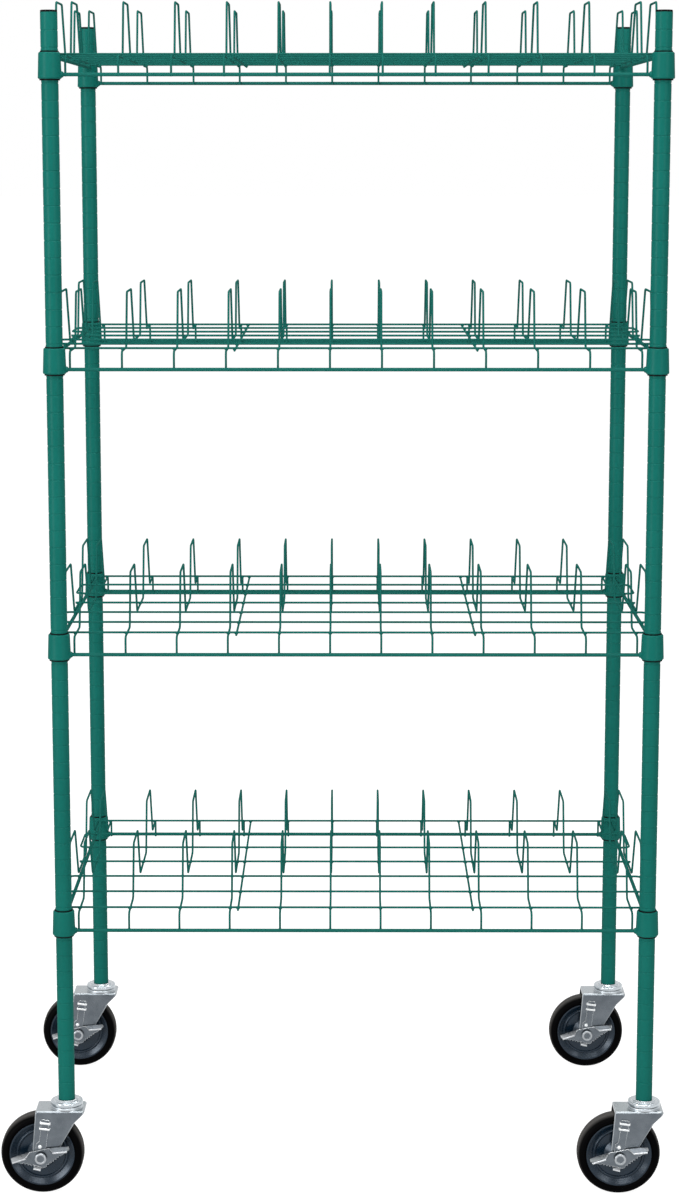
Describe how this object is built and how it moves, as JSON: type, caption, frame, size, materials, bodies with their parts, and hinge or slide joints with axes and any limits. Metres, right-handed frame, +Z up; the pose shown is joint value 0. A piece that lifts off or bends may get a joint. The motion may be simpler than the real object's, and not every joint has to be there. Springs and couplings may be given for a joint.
{
  "type": "wire drying rack",
  "caption": "Mobile wire drying rack: grooved posts carry wire shelves whose upright loops hold trays and boards on edge, on braked swivel casters.",
  "frame": {"origin": "on the floor, midway between the four posts", "axes": "+X along the shelves to the right, +Y from front to back, +Z up"},
  "size_m": [1.013, 0.6486, 1.7982],
  "materials": {
    "green_epoxy": "smooth green epoxy coat over steel",
    "black_plastic": "moulded black",
    "zinc_steel": "bright zinc plate",
    "slate_plastic": "satin moulded blue grey",
    "black_rubber": "smooth tread rubber"
  },
  "bodies": {
    "rack": {"post_front_left": "green_epoxy", "post_front_right": "green_epoxy", "post_back_left": "green_epoxy", "post_back_right": "green_epoxy", "post_caps": "black_plastic", "post_inserts": "zinc_steel", "collars_tier_1": "green_epoxy", "sleeves_tier_1": "black_plastic", "frame_rods_tier_1": "green_epoxy", "mat_wires_tier_1": "green_epoxy", "drying_loops_tier_1": "green_epoxy", "support_wires_tier_1": "green_epoxy", "collars_tier_2": "green_epoxy", "sleeves_tier_2": "black_plastic", "frame_rods_tier_2": "green_epoxy", "mat_wires_tier_2": "green_epoxy", "drying_loops_tier_2": "green_epoxy", "support_wires_tier_2": "green_epoxy", "collars_tier_3": "green_epoxy", "sleeves_tier_3": "black_plastic", "frame_rods_tier_3": "green_epoxy", "mat_wires_tier_3": "green_epoxy", "drying_loops_tier_3": "green_epoxy", "support_wires_tier_3": "green_epoxy", "collars_tier_4": "green_epoxy", "sleeves_tier_4": "black_plastic", "frame_rods_tier_4": "green_epoxy", "mat_wires_tier_4": "green_epoxy", "drying_loops_tier_4": "green_epoxy", "support_wires_tier_4": "green_epoxy", "caster_stem_front_left": "zinc_steel", "caster_stem_front_right": "zinc_steel", "caster_stem_back_left": "zinc_steel", "caster_stem_back_right": "zinc_steel", "swivel_balls": "zinc_steel"},
    "fork_front_left": {"caster_fork_front_left": "zinc_steel", "wheel_axle_front_left": "zinc_steel"},
    "wheel_front_left": {"wheel_hub_front_left": "slate_plastic", "wheel_tyre_front_left": "black_rubber"},
    "lever_front_left": {"brake_lever_front_left": "zinc_steel"},
    "strap_front_left": {"brake_strap_front_left": "zinc_steel"},
    "fork_front_right": {"caster_fork_front_right": "zinc_steel", "wheel_axle_front_right": "zinc_steel"},
    "wheel_front_right": {"wheel_hub_front_right": "slate_plastic", "wheel_tyre_front_right": "black_rubber"},
    "lever_front_right": {"brake_lever_front_right": "zinc_steel"},
    "strap_front_right": {"brake_strap_front_right": "zinc_steel"},
    "fork_back_left": {"caster_fork_back_left": "zinc_steel", "wheel_axle_back_left": "zinc_steel"},
    "wheel_back_left": {"wheel_hub_back_left": "slate_plastic", "wheel_tyre_back_left": "black_rubber"},
    "lever_back_left": {"brake_lever_back_left": "zinc_steel"},
    "strap_back_left": {"brake_strap_back_left": "zinc_steel"},
    "fork_back_right": {"caster_fork_back_right": "zinc_steel", "wheel_axle_back_right": "zinc_steel"},
    "wheel_back_right": {"wheel_hub_back_right": "slate_plastic", "wheel_tyre_back_right": "black_rubber"},
    "lever_back_right": {"brake_lever_back_right": "zinc_steel"},
    "strap_back_right": {"brake_strap_back_right": "zinc_steel"}
  },
  "joints": [
    {"name": "swivel_front_left", "type": "hinge", "parent": "rack", "child": "fork_front_left", "pos_m": [-0.4415, -0.289, 0.1416], "axis": [0, 0, 1], "continuous": true},
    {"name": "roll_front_left", "type": "hinge", "parent": "fork_front_left", "child": "wheel_front_left", "pos_m": [-0.4795, -0.289, 0.0635], "axis": [0, 1, 0], "continuous": true},
    {"name": "brake_front_left", "type": "hinge", "parent": "fork_front_left", "child": "lever_front_left", "pos_m": [-0.4795, -0.289, 0.0635], "axis": [0, 1, 0], "range_deg": [0, 25]},
    {"name": "strap_lift_front_left", "type": "slide", "parent": "fork_front_left", "child": "strap_front_left", "axis": [0.1305, 0, 0.9914], "range_m": [0, 0.0021]},
    {"name": "swivel_front_right", "type": "hinge", "parent": "rack", "child": "fork_front_right", "pos_m": [0.4415, -0.289, 0.1416], "axis": [0, 0, 1], "continuous": true},
    {"name": "roll_front_right", "type": "hinge", "parent": "fork_front_right", "child": "wheel_front_right", "pos_m": [0.4035, -0.289, 0.0635], "axis": [0, 1, 0], "continuous": true},
    {"name": "brake_front_right", "type": "hinge", "parent": "fork_front_right", "child": "lever_front_right", "pos_m": [0.4035, -0.289, 0.0635], "axis": [0, 1, 0], "range_deg": [0, 25]},
    {"name": "strap_lift_front_right", "type": "slide", "parent": "fork_front_right", "child": "strap_front_right", "axis": [0.1305, 0, 0.9914], "range_m": [0, 0.0021]},
    {"name": "swivel_back_left", "type": "hinge", "parent": "rack", "child": "fork_back_left", "pos_m": [-0.4415, 0.289, 0.1416], "axis": [0, 0, 1], "continuous": true},
    {"name": "roll_back_left", "type": "hinge", "parent": "fork_back_left", "child": "wheel_back_left", "pos_m": [-0.4795, 0.289, 0.0635], "axis": [0, 1, 0], "continuous": true},
    {"name": "brake_back_left", "type": "hinge", "parent": "fork_back_left", "child": "lever_back_left", "pos_m": [-0.4795, 0.289, 0.0635], "axis": [0, 1, 0], "range_deg": [0, 25]},
    {"name": "strap_lift_back_left", "type": "slide", "parent": "fork_back_left", "child": "strap_back_left", "axis": [0.1305, 0, 0.9914], "range_m": [0, 0.0021]},
    {"name": "swivel_back_right", "type": "hinge", "parent": "rack", "child": "fork_back_right", "pos_m": [0.4415, 0.289, 0.1416], "axis": [0, 0, 1], "continuous": true},
    {"name": "roll_back_right", "type": "hinge", "parent": "fork_back_right", "child": "wheel_back_right", "pos_m": [0.4035, 0.289, 0.0635], "axis": [0, 1, 0], "continuous": true},
    {"name": "brake_back_right", "type": "hinge", "parent": "fork_back_right", "child": "lever_back_right", "pos_m": [0.4035, 0.289, 0.0635], "axis": [0, 1, 0], "range_deg": [0, 25]},
    {"name": "strap_lift_back_right", "type": "slide", "parent": "fork_back_right", "child": "strap_back_right", "axis": [0.1305, 0, 0.9914], "range_m": [0, 0.0021]}
  ],
  "couplings": [
    {"joint": "strap_lift_front_left", "follows": "brake_front_left", "m_per_rad": 0.0045837},
    {"joint": "strap_lift_front_right", "follows": "brake_front_right", "m_per_rad": 0.0045837},
    {"joint": "strap_lift_back_left", "follows": "brake_back_left", "m_per_rad": 0.0045837},
    {"joint": "strap_lift_back_right", "follows": "brake_back_right", "m_per_rad": 0.0045837}
  ]
}
